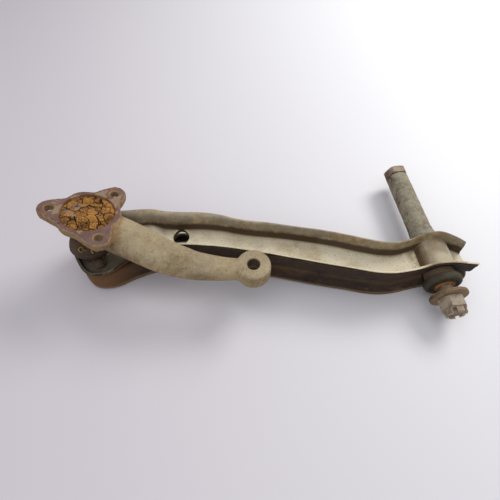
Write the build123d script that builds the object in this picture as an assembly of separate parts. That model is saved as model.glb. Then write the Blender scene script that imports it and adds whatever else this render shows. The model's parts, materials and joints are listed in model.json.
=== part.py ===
from build123d import *
import os
from math import cos, radians, sin, sqrt, tan

# Front lower control arm of a strut suspension: a pressed-steel arm with a rubber bush and its
# pivot bolt at one end, and a ball joint that carries a forged steering arm at the other.
# Millimetres. While it is drawn, the origin is the middle of the bush: +X points from the ball
# joint to the bush, +Y along the pivot bolt towards its head, +Z up. Everything is written with
# the origin in the middle of the spacer tube, see row_shift.

# Pressings
sheet = 3.5               # sheet thickness
rim_height = 24.0         # height of a rim above the joint between the two trays
rim_draft = 13.0          # outward lean of the rims, degrees
arm_end_x = 34.0          # open end beyond the bush
pan_floor = 8.0           # height of the raised floor round the ball joint
pan_step_x = -288.0       # where the raised floor starts
pan_rim = 14.0            # the rim is cut down in front of the ball joint
link_hole = (-264.5, 52.0)
link_hole_radius = 8.75

# Bush, pivot bolt and nut, along Y
tube_radius = 15.0
tube_wall = 2.0
tube_ends = (-25.0, 19.5)
sleeve_radius = 9.75
sleeve_ends = (-35.0, 22.0)
rubber_lip_radius = 19.0
rubber_lip_end = -33.5
bolt_radius = 7.0
bolt_end = -64.0
spacer_radius = 12.5
spacer_ends = (30.0, 116.0)
collar_radius = 13.3
head_flats = 24.0
head_height = 10.5
washer_radius = 18.5
washer_ends = (-46.6, -42.6)
nut_flats = 22.0
nut_ends = (-65.1, -47.1)
crown_height = 6.5

# Ball joint
ball_centre = Vector(-355.0, 44.0, 6.0)
stud_lean_x = 11.3        # lean of the stud towards the bush, degrees
stud_lean_y = 7.5         # lean of the stud towards the bolt head's side, degrees
ball_radius = 12.5
neck_radius = 5.5
seat_radius = 14.2
cup_radius = 16.5
cup_neck = 14.2
mouth_radius = 10.4
plate_thickness = 4.0
rivet_angles = (-67.0, 20.0, 107.0)
rivet_circle = 22.0
rivet_radius = 3.5
rivet_lug = 6.0
cotter_height = 52.8

# Steering arm, measured along the stud from the ball's centre
hub_bottom = 31.0
cavity_floor = 46.0
flange_bottom = 47.0
flange_top = 55.0
cavity_radius = 24.5
flange_disc = 28.5
lug_radius = 11.0
bolt_circle = 35.0
bolt_hole_radius = 4.2
bolt_phase = 54.6
eye_centre = Vector(-192.5, -10.0, 29.0)
eye_radius = 15.4
eye_thickness = 18.0
eye_bore = 5.75
eye_land = 5.0

row_shift = Location((0, -(spacer_ends[0] + spacer_ends[1]) / 2, 0))
stud_axis = Vector(
    sin(radians(stud_lean_x)),
    cos(radians(stud_lean_x)) * sin(radians(stud_lean_y)),
    cos(radians(stud_lean_x)) * cos(radians(stud_lean_y)),
)
stud_plane = Plane(origin=ball_centre, x_dir=Vector(1, 0, 0) - stud_axis * stud_axis.X, z_dir=stud_axis)
along_y = Plane(origin=(0, 0, 0), x_dir=(1, 0, 0), z_dir=(0, 1, 0))


def disc_y(radius, low, high):
    """Solid cylinder round the pivot axis, from low to high along Y."""
    return extrude(along_y.offset(low) * Circle(radius), high - low)


def ring_y(outer, inner, low, high):
    return disc_y(outer, low, high) - disc_y(inner, low - 1, high + 1)


def hexagon(flats):
    return RegularPolygon(flats / sqrt(3), 6)


def turned(points, plane):
    """Solid of revolution about the plane's Z, from (radius, height) points."""
    face = make_face(Polyline(*[(r, 0, z) for r, z in points], close=True))
    return plane.location * revolve(face, Axis.Z)


def ball_plane(height=0.0):
    return Plane(origin=ball_centre + Vector(0, 0, height))


# Outline of both pressings at the rims' free edges: near side, then the pan round the ball
# joint, then the far side. Each corner has its own radius.
outline = [
    ((70, -24), 12),
    ((4, -23), 30), ((-46, -29.5), 60), ((-92, -19), 90), ((-176, 8), 120), ((-262, 30), 60),
    ((-303, 27), 24), ((-334, 10), 15), ((-358, 10.5), 13), ((-379.5, 36), 15), ((-381, 66), 16),
    ((-361, 85), 16), ((-296, 82), 60), ((-240, 73), 60), ((-196, 55.5), 60),
    ((-86, 24.5), 60), ((-48, 11.5), 30), ((-3, 20.5), 30), ((26, 6), 20),
    ((70, 6), 12),
]


def outline_face(height, inset):
    """The outline at a height, moved inwards by inset; every corner's arc keeps its centre."""
    points = [Vector(*point) for point, radius in outline]
    moved, radii = [], []
    for i, (point, radius) in enumerate(outline):
        before = (points[i] - points[i - 1]).normalized()
        after = (points[(i + 1) % len(points)] - points[i]).normalized()
        inward = (Vector(before.Y, -before.X) + Vector(after.Y, -after.X)).normalized()
        half_turn = before.get_angle(after) / 2
        moved.append(points[i] + inward * (inset / cos(radians(half_turn))))
        convex = before.X * after.Y - before.Y * after.X < 0
        radii.append(radius - inset if convex else radius + inset)
    wire = FilletPolyline(*moved, radius=radii, close=True)
    return Plane.XY.offset(height) * make_face(wire)


def flared(low, high, inset):
    """Solid between two heights with sides that lean outwards by rim_draft."""
    lean = tan(radians(rim_draft))
    faces = [outline_face(z, inset + (rim_height - z) * lean) for z in (low, high)]
    return loft(faces, ruled=True)


def tray():
    """The upper pressing before its holes: a flat floor with flared rims, open at the bush end."""
    open_end = Pos(arm_end_x + 50, 0, 0) * Box(100, 200, 100)
    return flared(0, rim_height, 0) - flared(sheet, rim_height + 1, sheet) - open_end


def with_holes(pressing):
    saddle = disc_y(tube_radius + sheet, tube_ends[0] + 3, tube_ends[1] - 3)
    saddle &= Pos(0, 0, 50 * pressing_side(pressing)) * Box(80, 80, 100)
    pressing = pressing + saddle - disc_y(tube_radius + 0.05, -60, 60)
    pressing -= Pos(*link_hole, 0) * Cylinder(link_hole_radius, 60)
    return pressing - Pos(ball_centre.X, ball_centre.Y, 0) * Cylinder(cup_radius + 0.1, 60)


def pressing_side(pressing):
    return 1 if pressing.center().Z > 0 else -1


def rivet_places(height=0.0):
    for angle in rivet_angles:
        yield Pos(
            ball_centre.X + rivet_circle * cos(radians(angle)),
            ball_centre.Y + rivet_circle * sin(radians(angle)),
            height,
        )


def upper_pressing():
    pan_side = Pos(pan_step_x - 100, 50, 0) * Box(200, 200, 100)
    raised = flared(0, pan_floor, 1) & pan_side
    under = flared(-1, pan_floor - sheet, sheet) & Pos(-sheet, 0, 0) * pan_side
    low_rim = Pos(-350, 0, pan_rim + 50) * Box(76, 60, 100)
    low_rim += Pos(-372, 50, pan_rim + 50) * Box(74, 120, 100)
    body = with_holes(tray() + raised - under - low_rim)
    for place in rivet_places():
        body -= place * Cylinder(rivet_radius + 0.15, 60)
    return body


def lower_pressing():
    return with_holes(mirror(tray(), Plane.XY))


def bush_tube():
    return ring_y(tube_radius, tube_radius - tube_wall, *tube_ends)


def bush_rubber():
    """Bonded rubber with a lip outside the tube at the nut's end."""
    inside = sleeve_radius + 0.05
    sleeve_fill = ring_y(tube_radius - tube_wall - 0.02, inside, tube_ends[0] - 1, sleeve_ends[1] - 1)
    lip = Solid.make_cone(rubber_lip_radius, rubber_lip_radius - 2.5, -rubber_lip_end + tube_ends[0] - 0.2,
                          plane=Plane(origin=(0, tube_ends[0] - 0.2, 0), z_dir=(0, -1, 0)))
    return sleeve_fill + (lip - disc_y(inside, -80, 0))


def inner_sleeve():
    return ring_y(sleeve_radius, bolt_radius + 0.2, *sleeve_ends)


def thrust_collar():
    return ring_y(collar_radius, bolt_radius + 0.2, sleeve_ends[1], spacer_ends[0])


def spacer_tube():
    return ring_y(spacer_radius, bolt_radius + 0.2, *spacer_ends)


def pivot_bolt():
    """Long bolt with a hexagon head; a short neck makes the groove under the head."""
    neck_end = spacer_ends[1] + 1.2
    shank = disc_y(bolt_radius, bolt_end, neck_end)
    neck = disc_y(spacer_radius - 2, spacer_ends[1], neck_end)
    head = extrude(along_y.offset(neck_end) * hexagon(head_flats), head_height - 1.2)
    return chamfer((shank + neck + head).edges().sort_by(Axis.Y)[0], 1.0)


def bolt_washer():
    return ring_y(washer_radius, bolt_radius + 0.3, *washer_ends)


def castle_nut(flats, height, crown, bore, slot):
    """Nut standing on Z = 0 with six slots across its crown."""
    body = extrude(hexagon(flats), height - crown)
    body += extrude(Plane.XY.offset(height - crown) * Circle(flats * 0.46), crown)
    body -= Cylinder(bore, 3 * height)
    for turn in range(3):
        body -= Rot(0, 0, 60 * turn + 30) * Pos(0, 0, height - crown / 2 + 0.5) * Box(3 * flats, slot, crown)
    return body


def pivot_nut():
    towards_end = Plane(origin=(0, nut_ends[1], 0), x_dir=(1, 0, 0), z_dir=(0, -1, 0))
    height = nut_ends[1] - nut_ends[0]
    return towards_end.location * castle_nut(nut_flats, height, crown_height, bolt_radius + 0.06, 4.0)


def ball_housing():
    """Forged cup that drops through both floors, with three riveted lugs and a neck for the boot."""
    plate_high = pan_floor - ball_centre.Z + plate_thickness
    body = turned(
        [(0, -20), (cup_radius, -20), (cup_radius, plate_high), (cup_neck, plate_high), (cup_neck, 12.5),
         (0, 12.5)], ball_plane())
    for angle, place in zip(rivet_angles, rivet_places(pan_floor)):
        web = Rot(0, 0, angle) * Pos(-rivet_circle / 2, 0, plate_thickness / 2)
        web *= Box(rivet_circle, 2 * rivet_lug, plate_thickness)
        body += place * (extrude(Circle(rivet_lug), plate_thickness) + web)
    body -= turned(
        [(0, -21), (seat_radius, -21), (seat_radius, 4.2), (seat_radius - 1.4, 5.6), (11.5, 5.6),
         (mouth_radius, 7.4),
         (cup_neck - 1.2, 12.6), (0, 12.6)], ball_plane())
    for place in rivet_places():
        body -= place * Cylinder(rivet_radius + 0.15, 60)
    return body


def housing_rivets():
    """Rivets through the housing's plate and the raised floor, with a domed head on top."""
    rivets = []
    for place in rivet_places():
        shank = extrude(Plane.XY.offset(0.5) * Circle(rivet_radius), pan_floor + plate_thickness)
        head = Pos(0, 0, pan_floor + plate_thickness - 3.2) * Sphere(6.4)
        head &= Pos(0, 0, pan_floor + plate_thickness + 5) * Box(30, 30, 10)
        tail = extrude(Plane.XY.offset(0.5) * Circle(4.4), pan_floor - sheet - 0.6)
        rivets.append(place * (shank + head + tail))
    return Compound(children=rivets)


def end_cap():
    return Pos(ball_centre.X, ball_centre.Y, ball_centre.Z - 18.5) * Cylinder(seat_radius - 0.05, 2.2)


def preload_spring():
    """Dished disc spring that pushes the pad up against the ball."""
    return turned([(5, -15.6), (11.5, -17.2), (11.5, -16.2), (5, -14.8)], ball_plane())


def pressure_pad():
    """Cup-shaped pad under the ball; both faces are spheres about the ball's centre."""
    shell = Sphere(ball_radius + 2.0) - Sphere(ball_radius + 0.1)
    shell &= Pos(0, 0, -10 - 7.5) * Box(40, 40, 20)
    return Location(tuple(ball_centre)) * (shell - Cylinder(2, 60))


def ball_seat():
    """Liner round the upper half of the ball, held by the shoulder of the cup."""
    liner = turned([(0, -3), (seat_radius - 0.05, -3), (seat_radius - 0.05, 4.1),
                    (seat_radius - 1.45, 5.5), (0, 5.5)], ball_plane())
    return liner - Location(tuple(ball_centre)) * Sphere(ball_radius + 0.1)


def ball_stud():
    """Ball, thin neck, tapered seat and thread, with a cross hole for the cotter pin."""
    pin = turned([(0, 5), (neck_radius, 5), (neck_radius, 22), (9.2, 24.5), (9.2, 30), (7.4, cavity_floor),
                  (6.0, cavity_floor), (6.0, 54.5), (0, 54.5)], stud_plane)
    ball = stud_plane.location * (Sphere(ball_radius) - Pos(0, 0, -ball_radius - 4.0) * Box(30, 30, 10))
    cross_hole = Pos(0, 0, cotter_height) * Rot(0, 0, 30) * Rot(0, 90, 0) * Cylinder(1.35, 30)
    return pin + ball - stud_plane.location * cross_hole


def ball_boot():
    """Bulging rubber boot from the housing's neck to the stud's collar, hollow inside."""
    middle = Plane(origin=ball_centre + Vector(1.4, 0.9, 17.0), z_dir=Vector(0.1, 0.065, 0.99))
    low, high, top = ball_plane(8.4), stud_plane.offset(24.0), stud_plane.offset(27.2)
    outer = loft([low * Circle(15.6), middle * Circle(21.0), high * Circle(16.0), top * Circle(12.0)])
    inner = loft([low * Circle(14.4), middle * Circle(18.6), high * Circle(12.6), top * Circle(9.5)])
    collars = [extrude(ball_plane(6.3) * (Circle(15.6) - Circle(14.4)), 2.1),
               extrude(top * (Circle(12.0) - Circle(9.5)), 2.6)]
    return outer - inner + collars


def wire_ring(radius, wire, plane):
    return plane.location * Torus(radius, wire)


def boot_ring_lower():
    return wire_ring(16.4, 0.7, ball_plane(7.35))


def boot_ring_upper():
    return wire_ring(12.9, 0.8, stud_plane.offset(28.6))


def arm_section(place, ahead, radius):
    return Plane(origin=place, z_dir=ahead) * Circle(radius)


def steering_arm():
    """Forging: a three-hole flange with a deep cavity, a hub on the stud and a curved arm."""
    hub = turned([(0, hub_bottom), (17, hub_bottom), (20, hub_bottom + 4), (flange_disc - 1, flange_bottom),
                  (flange_disc, flange_bottom), (flange_disc, flange_top), (0, flange_top)], stud_plane)
    flange = stud_plane.offset(flange_bottom) * make_hull(
        [Rot(0, 0, bolt_phase + 120 * i) * Pos(bolt_circle, 0) * CenterArc((0, 0), lug_radius, 0, 360)
         for i in range(3)])
    plate = extrude(flange, flange_top - flange_bottom)
    route = [((-331, 43, 46.5), 15.5), ((-322, 37.5, 46), 17.0), ((-304.5, 25, 43), 17.3),
             ((-274.5, 7, 38.5), 16.3), ((-250.5, -2, 34.5), 14.2), ((-226, -6.5, 31), 12.2),
             ((-200, -9.3, 29.3), 11.0)]
    places = [Vector(*place) for place, radius in route]
    sections = []
    for i, (place, radius) in enumerate(route):
        ahead = places[min(i + 1, len(places) - 1)] - places[max(i - 1, 0)]
        sections.append(arm_section(place, ahead, radius))
    arm = loft(sections)
    arm -= stud_plane.offset(flange_bottom).location * Pos(0, 0, 50) * Cylinder(flange_disc - 1, 100)
    eye = Location(tuple(eye_centre)) * Cylinder(eye_radius, eye_thickness)
    cavity = stud_plane.location * Pos(0, 0, cavity_floor + 20) * Cylinder(cavity_radius, 40)
    bore = turned([(0, hub_bottom - 20), (9.3 + 2.25, hub_bottom - 20), (9.3, 30), (7.5, cavity_floor),
                   (7.5, cavity_floor + 5), (0, cavity_floor + 5)], stud_plane)
    forging = hub + plate + arm + eye - cavity - bore
    for i in range(3):
        hole = Rot(0, 0, bolt_phase + 120 * i) * Pos(bolt_circle, 0, flange_top) * Cylinder(bolt_hole_radius, 60)
        forging -= stud_plane.location * hole
    half = eye_thickness / 2
    eye_hole = turned([(0, -half - 1), (eye_bore + 1.1, -half - 1), (eye_bore, half - eye_land),
                       (eye_bore, half + 1), (0, half + 1)], Plane(origin=eye_centre))
    return forging - eye_hole


def stud_nut():
    return stud_plane.offset(cavity_floor + 0.1).location * castle_nut(19, 8.2, 3.4, 6.05, 3.2)


def cotter_pin():
    """Split pin through the nut's slots, its legs bent down beside the nut."""
    pin = Rot(0, 90, 0) * Cylinder(1.2, 24)
    head = Pos(-12.5, 0, 0) * Rot(90, 0, 0) * Torus(2.0, 1.0)
    return stud_plane.offset(cotter_height).location * Rot(0, 0, 30) * (pin + head)


pieces = [
    upper_pressing, lower_pressing, bush_tube, bush_rubber, inner_sleeve, thrust_collar, spacer_tube,
    pivot_bolt, bolt_washer, pivot_nut, ball_housing, housing_rivets, end_cap, preload_spring,
    pressure_pad, ball_seat, ball_stud, ball_boot, boot_ring_lower, boot_ring_upper, steering_arm,
    stud_nut, cotter_pin,
]
os.makedirs("parts", exist_ok=True)
for piece in pieces:
    export_step(row_shift * piece(), f"parts/{piece.__name__}.step")
    print(piece.__name__)
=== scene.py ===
import bmesh
import bpy
import json
import math
from mathutils import Matrix, Vector, noise


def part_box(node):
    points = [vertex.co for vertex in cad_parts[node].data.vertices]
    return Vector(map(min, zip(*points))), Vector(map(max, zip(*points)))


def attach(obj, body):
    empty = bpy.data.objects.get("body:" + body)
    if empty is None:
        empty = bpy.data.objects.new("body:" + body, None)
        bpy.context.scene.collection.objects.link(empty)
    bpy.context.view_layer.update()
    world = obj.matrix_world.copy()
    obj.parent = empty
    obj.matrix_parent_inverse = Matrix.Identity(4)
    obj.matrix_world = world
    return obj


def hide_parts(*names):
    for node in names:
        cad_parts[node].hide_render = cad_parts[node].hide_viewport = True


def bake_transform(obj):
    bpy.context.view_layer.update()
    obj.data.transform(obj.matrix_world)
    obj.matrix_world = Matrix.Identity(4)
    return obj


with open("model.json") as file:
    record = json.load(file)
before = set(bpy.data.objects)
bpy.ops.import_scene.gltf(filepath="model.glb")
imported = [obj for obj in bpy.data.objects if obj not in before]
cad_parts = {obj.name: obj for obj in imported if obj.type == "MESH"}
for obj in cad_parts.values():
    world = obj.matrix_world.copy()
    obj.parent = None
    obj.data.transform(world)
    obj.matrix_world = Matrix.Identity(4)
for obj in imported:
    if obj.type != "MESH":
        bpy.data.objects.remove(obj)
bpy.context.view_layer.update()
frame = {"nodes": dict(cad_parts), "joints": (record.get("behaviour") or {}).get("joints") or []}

# Front lower control arm lying on a table. Sizes are in millimetres from the middle of the bush,
# with Y along the pivot bolt, and toObject() puts them in the frame, in metres.

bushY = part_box("spacer_tube")[0].y * 1000 - 30                      # the spacer starts 30 mm from there
joints = {joint["name"]: joint for joint in frame["joints"]}
ballCentre = Vector(joints["ball_rock"]["pos_m"]) * 1000 - Vector((0, bushY, 0))
studAxis = Vector(joints["steer_swivel"]["axis"]).normalized()
studX = (Vector((1, 0, 0)) - studAxis * studAxis.x).normalized()
studTurn = Matrix((studX, studAxis.cross(studX), studAxis)).transposed().to_4x4()
onStud = Matrix.Translation(ballCentre) @ studTurn                  # Z runs up the stud from the ball
alongY = Matrix.Rotation(math.radians(-90), 4, "X")                 # Z of a lathe turned to +Y
ballPlace = (ballCentre + Vector((0, bushY, 0))) / 1000             # the ball in the frame, in metres


def smooth(low, high, x):
    t = min(max((x - low) / (high - low), 0), 1)
    return t * t * (3 - 2 * t)


def mix(a, b, t):
    return a + (b - a) * t


def ripple(point, size, seed=0):
    # smooth waves of about this size, from -1 to 1
    return noise.noise(Vector(point) / size + Vector((seed, 2.3 * seed, 0)))


def toObject(bm, name):
    # a finished bmesh in millimetres becomes an object in the frame
    bm.transform(Matrix.Scale(0.001, 4) @ Matrix.Translation((0, bushY, 0)))
    mesh = bpy.data.meshes.new(name)
    bm.to_mesh(mesh)
    bm.free()
    obj = bpy.data.objects.new(name, mesh)
    bpy.context.scene.collection.objects.link(obj)
    for face in mesh.polygons:
        face.use_smooth = True
    return obj


def settle(obj):
    # the modifiers become part of the mesh
    bpy.context.view_layer.update()
    graph = bpy.context.evaluated_depsgraph_get()
    mesh = bpy.data.meshes.new_from_object(obj.evaluated_get(graph))
    old = obj.data
    obj.modifiers.clear()
    obj.data = mesh
    bpy.data.meshes.remove(old)


def modify(obj, kind, **settings):
    modifier = obj.modifiers.new(kind.title(), kind)
    for key, value in settings.items():
        setattr(modifier, key, value)


def carve(obj, cutters, operation="DIFFERENCE"):
    # one cutter at a time, and each is used up
    for cutter in cutters:
        modify(obj, "BOOLEAN", object=cutter, operation=operation, solver="MANIFOLD")
        settle(obj)
        bpy.data.objects.remove(cutter)
    return obj


def rounded(obj, width, segments, angle):
    modify(obj, "BEVEL", width=width / 1000, segments=segments, limit_method="ANGLE",
           angle_limit=math.radians(angle), profile=0.5, use_clamp_overlap=True, harden_normals=False)
    settle(obj)


def shadeByAngle(obj, angle):
    bm = bmesh.new()
    bm.from_mesh(obj.data)
    for edge in bm.edges:
        edge.smooth = len(edge.link_faces) == 2 and edge.calc_face_angle(0) < math.radians(angle)
    for face in bm.faces:
        face.smooth = True
    bm.to_mesh(obj.data)
    bm.free()


def isVert(item):
    return isinstance(item, bmesh.types.BMVert)


def openEdges(bm):
    return [edge for edge in bm.edges if edge.is_boundary]


def lathe(profile, where=Matrix.Identity(4), steps=72):
    # a closed outline of (radius, height) turned about Z
    bm = bmesh.new()
    ring = [bm.verts.new((max(radius, 0), 0, height)) for radius, height in profile]
    edges = [bm.edges.new((ring[i], ring[(i + 1) % len(ring)])) for i in range(len(ring))]
    bmesh.ops.spin(bm, geom=ring + edges, cent=(0, 0, 0), axis=(0, 0, 1),
                   angle=math.tau, steps=steps, use_merge=True)
    bmesh.ops.remove_doubles(bm, verts=bm.verts, dist=1e-4)
    bmesh.ops.recalc_face_normals(bm, faces=bm.faces)
    bm.transform(where)
    return bm


def extruded(bm, height):
    # the flat outline gets its thickness, upwards
    top = bmesh.ops.extrude_face_region(bm, geom=list(bm.faces))
    bmesh.ops.translate(bm, verts=[v for v in top["geom"] if isVert(v)], vec=(0, 0, height))
    bmesh.ops.recalc_face_normals(bm, faces=bm.faces)


def prism(sides, radius, low, high, where):
    bm = bmesh.new()
    made = bmesh.ops.create_circle(bm, cap_ends=True, segments=sides, radius=radius)
    bmesh.ops.rotate(bm, verts=made["verts"], matrix=Matrix.Rotation(math.pi / sides, 3, "Z"))
    bmesh.ops.translate(bm, verts=bm.verts, vec=(0, 0, low))
    extruded(bm, high - low)
    bm.transform(where)
    return bm


def block(size, where):
    bm = bmesh.new()
    bmesh.ops.create_cube(bm, size=1, matrix=where @ Matrix.Diagonal((*size, 1)))
    return bm


def tube(places, radii, squash, sides=40):
    # rings along a route, each with its own radius and share of that radius in height
    bm = bmesh.new()
    previous = None
    for i, place in enumerate(places):
        ahead = (places[min(i + 1, len(places) - 1)] - places[max(i - 1, 0)]).normalized()
        side = ahead.cross(Vector((0, 0, 1))).normalized()
        up = side.cross(ahead)
        turned = Matrix((side, up, ahead)).transposed().to_4x4()
        where = Matrix.Translation(place) @ turned @ Matrix.Diagonal((1, squash[i], 1, 1))
        made = bmesh.ops.create_circle(bm, cap_ends=False, segments=sides, radius=radii[i], matrix=where)
        ring = set(made["verts"])
        edges = [e for e in bm.edges if e.verts[0] in ring and e.verts[1] in ring]
        if previous:
            bmesh.ops.bridge_loops(bm, edges=previous + edges)
        previous = edges
    bmesh.ops.holes_fill(bm, edges=bm.edges, sides=sides)
    bmesh.ops.recalc_face_normals(bm, faces=bm.faces)
    return bm


def catmull(points, count):
    # a smooth curve through the points, in count steps from each to the next
    points = [Vector(p) for p in points]
    out = []
    for i in range(len(points) - 1):
        a, b, c, d = points[max(i - 1, 0)], points[i], points[i + 1], points[min(i + 2, len(points) - 1)]
        for step in range(count):
            t = step / count
            out.append(0.5 * (2 * b + (c - a) * t + (2 * a - 5 * b + 4 * c - d) * t * t
                              + (3 * b - a - 3 * c + d) * t ** 3))
    return out + [points[-1]]


def emptySlots(obj):
    # two material slots, for a piece whose faces already say which they take
    obj.data.materials.append(None)
    obj.data.materials.append(None)


def finishPiece(obj, material, body, slot, *nodes):
    skins = material if isinstance(material, tuple) else (material,)
    while len(obj.data.materials) < len(skins):
        obj.data.materials.append(None)
    for i, skin in enumerate(skins):
        obj.data.materials[i] = skin
    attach(obj, body)
    if nodes:
        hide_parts(*nodes)


camera = bpy.data.objects.new("camera", bpy.data.cameras.new("camera"))
bpy.context.scene.collection.objects.link(camera)
view = {"place": (-213.34, -181.67, 329.7), "pitch": 57.1, "yaw": 5.9, "lens": 26.2}
pitch = math.radians(view["pitch"])                 # down from level
yaw = math.radians(view["yaw"])                     # right of +Y
forward = Vector((math.sin(yaw) * math.cos(pitch), math.cos(yaw) * math.cos(pitch), -math.sin(pitch)))
right = Vector((math.cos(yaw), -math.sin(yaw), 0))
turn = Matrix((right, right.cross(forward), -forward)).transposed().to_4x4()
cameraPlace = (Vector(view["place"]) + Vector((0, bushY, 0))) / 1000
camera.matrix_world = Matrix.Translation(cameraPlace) @ turn
camera.data.lens = view["lens"]
camera.data.sensor_width = 36
camera.data.clip_start = 0.01
bpy.context.scene.camera = camera


def areaLight(name, place, target, size, power, colour=(1, 1, 1)):
    lamp = bpy.data.lights.new(name, "AREA")
    lamp.shape = "RECTANGLE"
    lamp.size, lamp.size_y = size
    lamp.energy = power
    lamp.color = colour
    obj = bpy.data.objects.new(name, lamp)
    obj.location = place
    obj.rotation_euler = (Vector(target) - Vector(place)).to_track_quat("-Z", "Y").to_euler()
    bpy.context.scene.collection.objects.link(obj)


middle = Vector((-0.17, -0.03, 0))
areaLight("keyLight", (0.75, 0.62, 0.95), middle, (0.7, 0.5), 11, (1, 0.985, 0.96))
areaLight("fillLight", (-0.9, -0.7, 1.0), middle, (1.2, 1.2), 3, (0.95, 0.97, 1))
areaLight("topLight", (-0.1, 0.1, 1.5), middle, (1.5, 1.5), 6)
world = bpy.data.worlds.new("studio")
world.use_nodes = True
sky = world.node_tree.nodes["Background"]
sky.inputs["Color"].default_value = (0.80, 0.81, 0.86, 1)
sky.inputs["Strength"].default_value = 0.42
bpy.context.scene.world = world
bpy.context.scene.view_settings.view_transform = "Standard"


class Wire:
    # a node's output, which sums and products can be written with

    def __init__(self, shader, socket):
        self.shader = shader
        self.socket = socket

    def combine(self, operation, a, b):
        return self.shader.node("ShaderNodeMath", {"operation": operation}, {0: a, 1: b})

    def __add__(self, other):
        return self.combine("ADD", self, other)

    def __radd__(self, other):
        return self.combine("ADD", other, self)

    def __sub__(self, other):
        return self.combine("SUBTRACT", self, other)

    def __rsub__(self, other):
        return self.combine("SUBTRACT", other, self)

    def __mul__(self, other):
        return self.combine("MULTIPLY", self, other)

    def __rmul__(self, other):
        return self.combine("MULTIPLY", other, self)


class Shader:
    # a material under way, sizes of its patterns in millimetres

    def __init__(self, name, settings):
        self.material = bpy.data.materials.new(name)
        self.material.use_nodes = True
        self.tree = self.material.node_tree
        self.bsdf = self.tree.nodes["Principled BSDF"]
        for socket, value in settings.items():
            self.bsdf.inputs[socket].default_value = value
        self.coords = self.node("ShaderNodeTexCoord", {}, {}, "Object")
        self.normal = self.node("ShaderNodeTexCoord", {}, {}, "Normal")

    def node(self, kind, settings, links, output=0):
        made = self.tree.nodes.new(kind)
        for key, value in settings.items():
            setattr(made, key, value)
        for key, value in links.items():
            if isinstance(value, Wire):
                self.tree.links.new(value.socket, made.inputs[key])
            else:
                made.inputs[key].default_value = value
        return Wire(self, made.outputs[output])

    def noise(self, size, detail, rough, stretch=(1, 1, 1), warp=0.0):
        scaled = self.node("ShaderNodeMapping", {}, {"Vector": self.coords, "Scale": stretch})
        return self.node("ShaderNodeTexNoise", {}, {"Vector": scaled, "Scale": 1000 / size, "Detail": detail,
                                                    "Roughness": rough, "Distortion": warp})

    def cells(self, size):
        return self.node("ShaderNodeTexVoronoi", {"feature": "F1"},
                         {"Vector": self.coords, "Scale": 1000 / size}, "Distance")

    def step(self, value, low, high):
        return self.node("ShaderNodeMapRange", {"interpolation_type": "SMOOTHSTEP"},
                         {"Value": value, "From Min": low, "From Max": high})

    def blend(self, mask, a, b):
        return self.node("ShaderNodeMix", {"data_type": "RGBA", "blend_type": "MIX"},
                         {0: mask, 6: a, 7: b}, 2)

    def facing(self, direction):
        return self.node("ShaderNodeVectorMath", {"operation": "DOT_PRODUCT"},
                         {0: self.normal, 1: direction}, 1)

    def along(self, direction, origin=(0, 0, 0)):
        moved = self.node("ShaderNodeVectorMath", {"operation": "SUBTRACT"}, {0: self.coords, 1: origin})
        return self.node("ShaderNodeVectorMath", {"operation": "DOT_PRODUCT"}, {0: moved, 1: direction}, 1)

    def away(self, point):
        return self.node("ShaderNodeVectorMath", {"operation": "DISTANCE"}, {0: self.coords, 1: point}, 1)

    def attribute(self, name):
        return self.node("ShaderNodeAttribute", {"attribute_name": name}, {}, 2)

    def edges(self):
        return self.node("ShaderNodeNewGeometry", {}, {}, "Pointiness")

    def bump(self, height, distance):
        return self.node("ShaderNodeBump", {},
                         {"Height": height, "Distance": distance / 1000, "Strength": 1.0})

    def feed(self, socket, value):
        self.tree.links.new(value.socket, self.bsdf.inputs[socket])


def rgb(r, g, b):
    # a screen colour from 0 to 255 in the linear values of a shader
    line = [v / 12.92 if v <= 0.04045 else ((v + 0.055) / 1.055) ** 2.4 for v in (r / 255, g / 255, b / 255)]
    return (*line, 1)


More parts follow.
